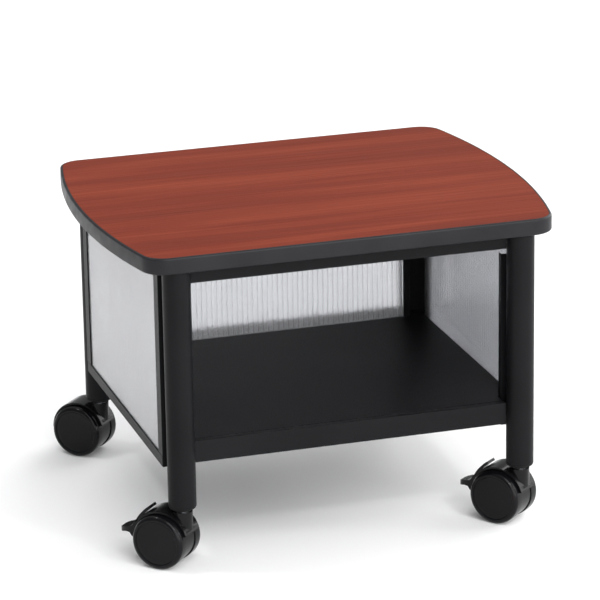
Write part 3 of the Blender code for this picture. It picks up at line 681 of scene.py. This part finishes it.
def hood_mesh(braked):
    """The caster's body: hood over the wheels, web between them, column round the stem."""
    sector = about_axle(HOOD_RADIUS, 0, HOOD_LEADING_ANGLE, 72) + [polar(0, 0)]
    base = prism(sector, -HOOD_HALF_WIDTH, HOOD_HALF_WIDTH, "Y")
    low = degrees(asin((WEB_LOWEST - WHEEL_RADIUS) / WEB_RADIUS))
    disc = prism(about_axle(WEB_RADIUS, low, 180 - low, 96), -WEB_HALF_WIDTH, WEB_HALF_WIDTH, "Y")
    column = turned([(COLUMN_RADIUS, COLUMN_BOTTOM), (COLUMN_RADIUS, COLUMN_TOP)], SMALL_STEPS)
    steps = [("UNION", disc), ("UNION", column)]
    for low_y, high_y in ((WEB_HALF_WIDTH, HOOD_CUT_END), (-HOOD_CUT_END, -WEB_HALF_WIDTH)):
        room = ring(polar(0, 0), HOOD_INNER_RADIUS, FINE_STEPS)
        steps.append(("DIFFERENCE", prism(room, low_y, high_y, "Y")))
    if braked:
        half = LEVER_HALF_WIDTH + LEVER_ROOM
        inner, outer = LEVER_SLOT_RADII
        start, end = LEVER_SLOT_ANGLES
        slot = about_axle(inner, start, end) + about_axle(outer, end, start)
        steps.append(("DIFFERENCE", prism(slot, -half, half, "Y")))
        radius, angle = PIN_PLACE
        spread = degrees(asin(LUG_NECK_HALF_WIDTH / radius))
        neck = [polar(LUG_NECK_START, angle - spread), polar(radius, angle - spread),
                polar(radius, angle + spread), polar(LUG_NECK_START, angle + spread)]
        pin = polar(radius, angle)
        steps.append(("UNION", prism(neck, -LUG_HALF_WIDTH, LUG_HALF_WIDTH, "Y")))
        steps.append(("UNION", prism(ring(pin, LUG_RADIUS), -LUG_HALF_WIDTH, LUG_HALF_WIDTH, "Y")))
        hole = prism(ring(pin, PIN_RADIUS + GAP), -LEVER_HALF_WIDTH, LEVER_HALF_WIDTH, "Y")
        steps.append(("DIFFERENCE", hole))
    axle_hole = ring(polar(0, 0), AXLE_RADIUS + GAP)
    steps.append(("DIFFERENCE", prism(axle_hole, -AXLE_HOLE_REACH, AXLE_HOLE_REACH, "Y")))
    stem_room = STEM_RADIUS + 2 * GAP
    stem_hole = [(stem_room, STEM_BOTTOM - STEM_END_ROOM), (stem_room, COLUMN_TOP + STEM_HOLE_REACH)]
    steps.append(("DIFFERENCE", turned(stem_hole, SMALL_STEPS)))
    return combined(base, steps)


def lever_mesh():
    """The brake lever: a foot pedal with a round end and a ribbed tread, and a tab that follows the hood."""
    pedal = about_axle(LEVER_INNER_RADIUS, LEVER_LOWEST_ANGLE, LEVER_ROOT_ANGLE, 18)
    pedal.append(polar(LEVER_OUTER_RADIUS, LEVER_ROOT_ANGLE))
    for along, up in PEDAL_TOP + PEDAL_NOSE + PEDAL_UNDERSIDE:
        pedal.append((TRAIL + along, WHEEL_RADIUS + up))
    pedal.append(polar(LEVER_OUTER_RADIUS, LEVER_LOWEST_ANGLE))
    half = LEVER_HALF_WIDTH
    base = prism(pedal, -half, half, "Y")
    start = TRAIL + PEDAL_ROUND_START
    turns = [radians(180 * i / PEDAL_STEPS - 90) for i in range(PEDAL_STEPS + 1)]
    plan = [(start + PEDAL_LENGTH * cos(t), half * sin(t)) for t in turns]
    plan += [(PEDAL_PLAN_START, half), (PEDAL_PLAN_START, -half)]
    steps = [("INTERSECT", prism(plan, 0.0, PEDAL_PLAN_TOP))]
    for i in range(GROOVES):
        near = start + GROOVE_START + GROOVE_PITCH * i
        far = near + GROOVE_WIDTH
        groove = [(near, -CUT_REACH), (far, -CUT_REACH), (far, CUT_REACH), (near, CUT_REACH)]
        height = WHEEL_RADIUS + FIRST_GROOVE_UP - GROOVE_DROP * i
        steps.append(("DIFFERENCE", prism(groove, height - GROOVE_DEPTH, height + GROOVE_TOP)))
    tab = about_axle(LEVER_INNER_RADIUS, TAB_START_ANGLE, TAB_LIFT_ANGLE)
    shares = [i / TAB_LIFT_STEPS for i in range(1, TAB_LIFT_STEPS + 1)]
    for share in shares:
        angle = TAB_LIFT_ANGLE + share * (TAB_TIP_ANGLE - TAB_LIFT_ANGLE)
        tab.append(polar(LEVER_INNER_RADIUS + TAB_INNER_LIFT * share**TAB_LIFT_CURVE, angle))
    for share in reversed(shares):
        angle = TAB_LIFT_ANGLE + share * (TAB_TIP_ANGLE - TAB_LIFT_ANGLE) - TAB_TIP_TAPER
        tab.append(polar(LEVER_OUTER_RADIUS + TAB_OUTER_LIFT * share**TAB_LIFT_CURVE, angle))
    tab += about_axle(LEVER_OUTER_RADIUS, TAB_LIFT_ANGLE, TAB_START_ANGLE)
    steps.append(("UNION", prism(tab, -TAB_HALF_WIDTH, TAB_HALF_WIDTH, "Y")))
    pin = polar(*PIN_PLACE)
    steps.append(("UNION", prism(ring(pin, BOSS_RADIUS), -half + GAP, half - GAP, "Y")))
    boss_slot = ring(pin, BOSS_RADIUS + BOSS_SLOT_CLEARANCE)
    steps.append(("DIFFERENCE", prism(boss_slot, -BOSS_SLOT_HALF_WIDTH, BOSS_SLOT_HALF_WIDTH, "Y")))
    steps.append(("DIFFERENCE", prism(ring(pin, PIN_RADIUS + GAP), -CUT_REACH, CUT_REACH, "Y")))
    return combined(base, steps)


def rod_mesh(radius, half_length, bevel):
    """A plain rod about Z with bevelled ends."""
    profile = [(radius - bevel, -half_length), (radius, -half_length + bevel)]
    profile += [(radius, half_length - bevel), (radius - bevel, half_length)]
    return turned(profile, SMALL_STEPS)


def build_casters():
    wheel = wheel_mesh()
    hoods = {braked: hood_mesh(braked) for braked in (False, True)}
    lever = lever_mesh()
    axle = rod_mesh(AXLE_RADIUS, AXLE_HALF_LENGTH, AXLE_BEVEL)
    pin = rod_mesh(PIN_RADIUS, PIN_HALF_LENGTH, PIN_BEVEL)
    sideways = Matrix.Rotation(radians(90), 4, "X")
    for corner in CORNERS:
        where = caster_frame(corner)
        body = corner + "_caster"
        hub = where @ Matrix.Translation((TRAIL, 0, WHEEL_RADIUS))
        node = corner + "_caster_hood"
        hood = hoods[corner in BRAKED].copy()
        piece(node + "_shell", hood, CASTER, node, where, HOOD_EDGE, body)
        node = corner + "_axle"
        piece(node + "_rod", axle.copy(), ZINC, node, hub @ sideways, body=body)
        for letter, turn in (("a", -90), ("b", 90)):
            node = f"{corner}_wheel_{letter}"
            outwards = hub @ Matrix.Rotation(radians(turn), 4, "X")
            piece(node + "_turned", wheel.copy(), WHEEL, node, outwards, body=node)
        if corner in BRAKED:
            node = corner + "_brake_lever"
            pedal = lever.copy()
            brake = corner + "_brake"
            piece(node + "_moulded", pedal, CASTER, node, where, LEVER_EDGE, brake)
            along, up = polar(*PIN_PLACE)
            node = corner + "_brake_pin"
            at_pin = where @ Matrix.Translation((along, 0, up)) @ sideways
            piece(node + "_steel", pin.copy(), ZINC, node, at_pin, body=body)


# The screws under the top


def build_screws():
    for corner in CORNERS:
        node = corner + "_board_screw"
        low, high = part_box(node)
        under_head = low.z + SCREW_HEAD_HEIGHT
        profile = [(SCREW_RECESS_FLOOR_RADIUS, low.z + SCREW_RECESS_DEPTH), (SCREW_RECESS_RIM_RADIUS, low.z)]
        profile += arc((SCREW_HEAD_RADIUS - SCREW_HEAD_HEIGHT, under_head), SCREW_HEAD_HEIGHT, -90, 0)
        profile.append((SCREW_RADIUS, under_head))
        start = under_head + SCREW_PLAIN_LENGTH
        for i in range(int((high.z - start - SCREW_THREAD_END) / SCREW_PITCH)):
            turn = start + i * SCREW_PITCH
            profile += [(SCREW_ROOT_RADIUS, turn), (SCREW_RADIUS, turn + SCREW_PITCH / 2)]
        profile += [(SCREW_ROOT_RADIUS, high.z - SCREW_POINT_LENGTH), (SCREW_POINT_RADIUS, high.z)]
        piece(node + "_pan_head", turned(profile, SMALL_STEPS), ZINC, node, centre_of(node))


# The studio


def add_sun(name, heading, height, strength, spread):
    """A wide soft sun. Heading is where it comes from, in degrees from the front towards +X."""
    light = bpy.data.lights.new(name, "SUN")
    light.energy = strength
    light.angle = radians(spread)
    obj = bpy.data.objects.new(name, light)
    bpy.context.scene.collection.objects.link(obj)
    level = cos(radians(height))
    source = Vector((sin(radians(heading)) * level, -cos(radians(heading)) * level, sin(radians(height))))
    obj.rotation_euler = source.to_track_quat("Z", "Y").to_euler()


def add_softbox(name, direction, distance, side, power):
    """A small square light that shines on the casters and legs and leaves a clear highlight."""
    light = bpy.data.lights.new(name, "AREA")
    light.size = side
    light.energy = power
    obj = bpy.data.objects.new(name, light)
    bpy.context.scene.collection.objects.link(obj)
    obj.location = Vector(direction).normalized() * distance
    obj.rotation_euler = Vector(direction).to_track_quat("Z", "Y").to_euler()


def build_world():
    """A white backdrop to look at; its light on the stand is softer."""
    world = bpy.data.worlds.new("studio")
    bpy.context.scene.world = world
    world.use_nodes = True
    tree = world.node_tree
    backdrop = tree.nodes["Background"]
    backdrop.inputs["Color"].default_value = (1.0, 1.0, 1.0, 1.0)
    backdrop.inputs["Strength"].default_value = 1.0
    room = tree.nodes.new("ShaderNodeBackground")
    room.inputs["Color"].default_value = (0.97, 0.98, 1.0, 1.0)
    room.inputs["Strength"].default_value = ROOM_LIGHT
    seen = tree.nodes.new("ShaderNodeLightPath").outputs["Is Camera Ray"]
    either = tree.nodes.new("ShaderNodeMixShader")
    tree.links.new(seen, either.inputs[0])
    tree.links.new(room.outputs[0], either.inputs[1])
    tree.links.new(backdrop.outputs[0], either.inputs[2])
    tree.links.new(either.outputs[0], tree.nodes["World Output"].inputs["Surface"])


def build_studio():
    look = Look("studio_floor", (0.86, 0.86, 0.86), 0.7, Specular_IOR_Level=0.1)
    tone = look.ramp(look.noise(1.2, 2.0), (0.3, (0.855, 0.855, 0.855)), (0.7, (0.865, 0.865, 0.865)))
    bpy.ops.mesh.primitive_plane_add(size=FLOOR_SIZE)
    floor = bpy.context.object
    floor.name = "studio_floor"
    floor.data.materials.append(look.finish(Base_Color=tone))
    for name, heading, height, strength, spread in SUNS:
        add_sun(name, heading, height, strength, spread)
    for name, direction, distance, side, power in SOFTBOXES:
        add_softbox(name, direction, distance, side, power)
    build_world()
    bpy.context.scene.view_settings.view_transform = "Standard"


def build_camera():
    camera = bpy.data.cameras.new("camera")
    camera.lens = CAMERA_LENS
    camera.sensor_width = 36.0
    camera.clip_start, camera.clip_end = 0.1, 60.0
    obj = bpy.data.objects.new("camera", camera)
    bpy.context.scene.collection.objects.link(obj)
    aim = (Vector(CAMERA_AIM) - Vector(CAMERA_PLACE)).to_track_quat("-Z", "Y").to_matrix().to_4x4()
    obj.matrix_world = Matrix.Translation(CAMERA_PLACE) @ aim @ Matrix.Rotation(radians(CAMERA_ROLL), 4, "Z")
    bpy.context.scene.camera = obj


build_top()
for each in CORNERS:
    build_leg(each)
build_panels()
build_sheet_metal()
build_screws()
build_casters()
build_studio()
build_camera()
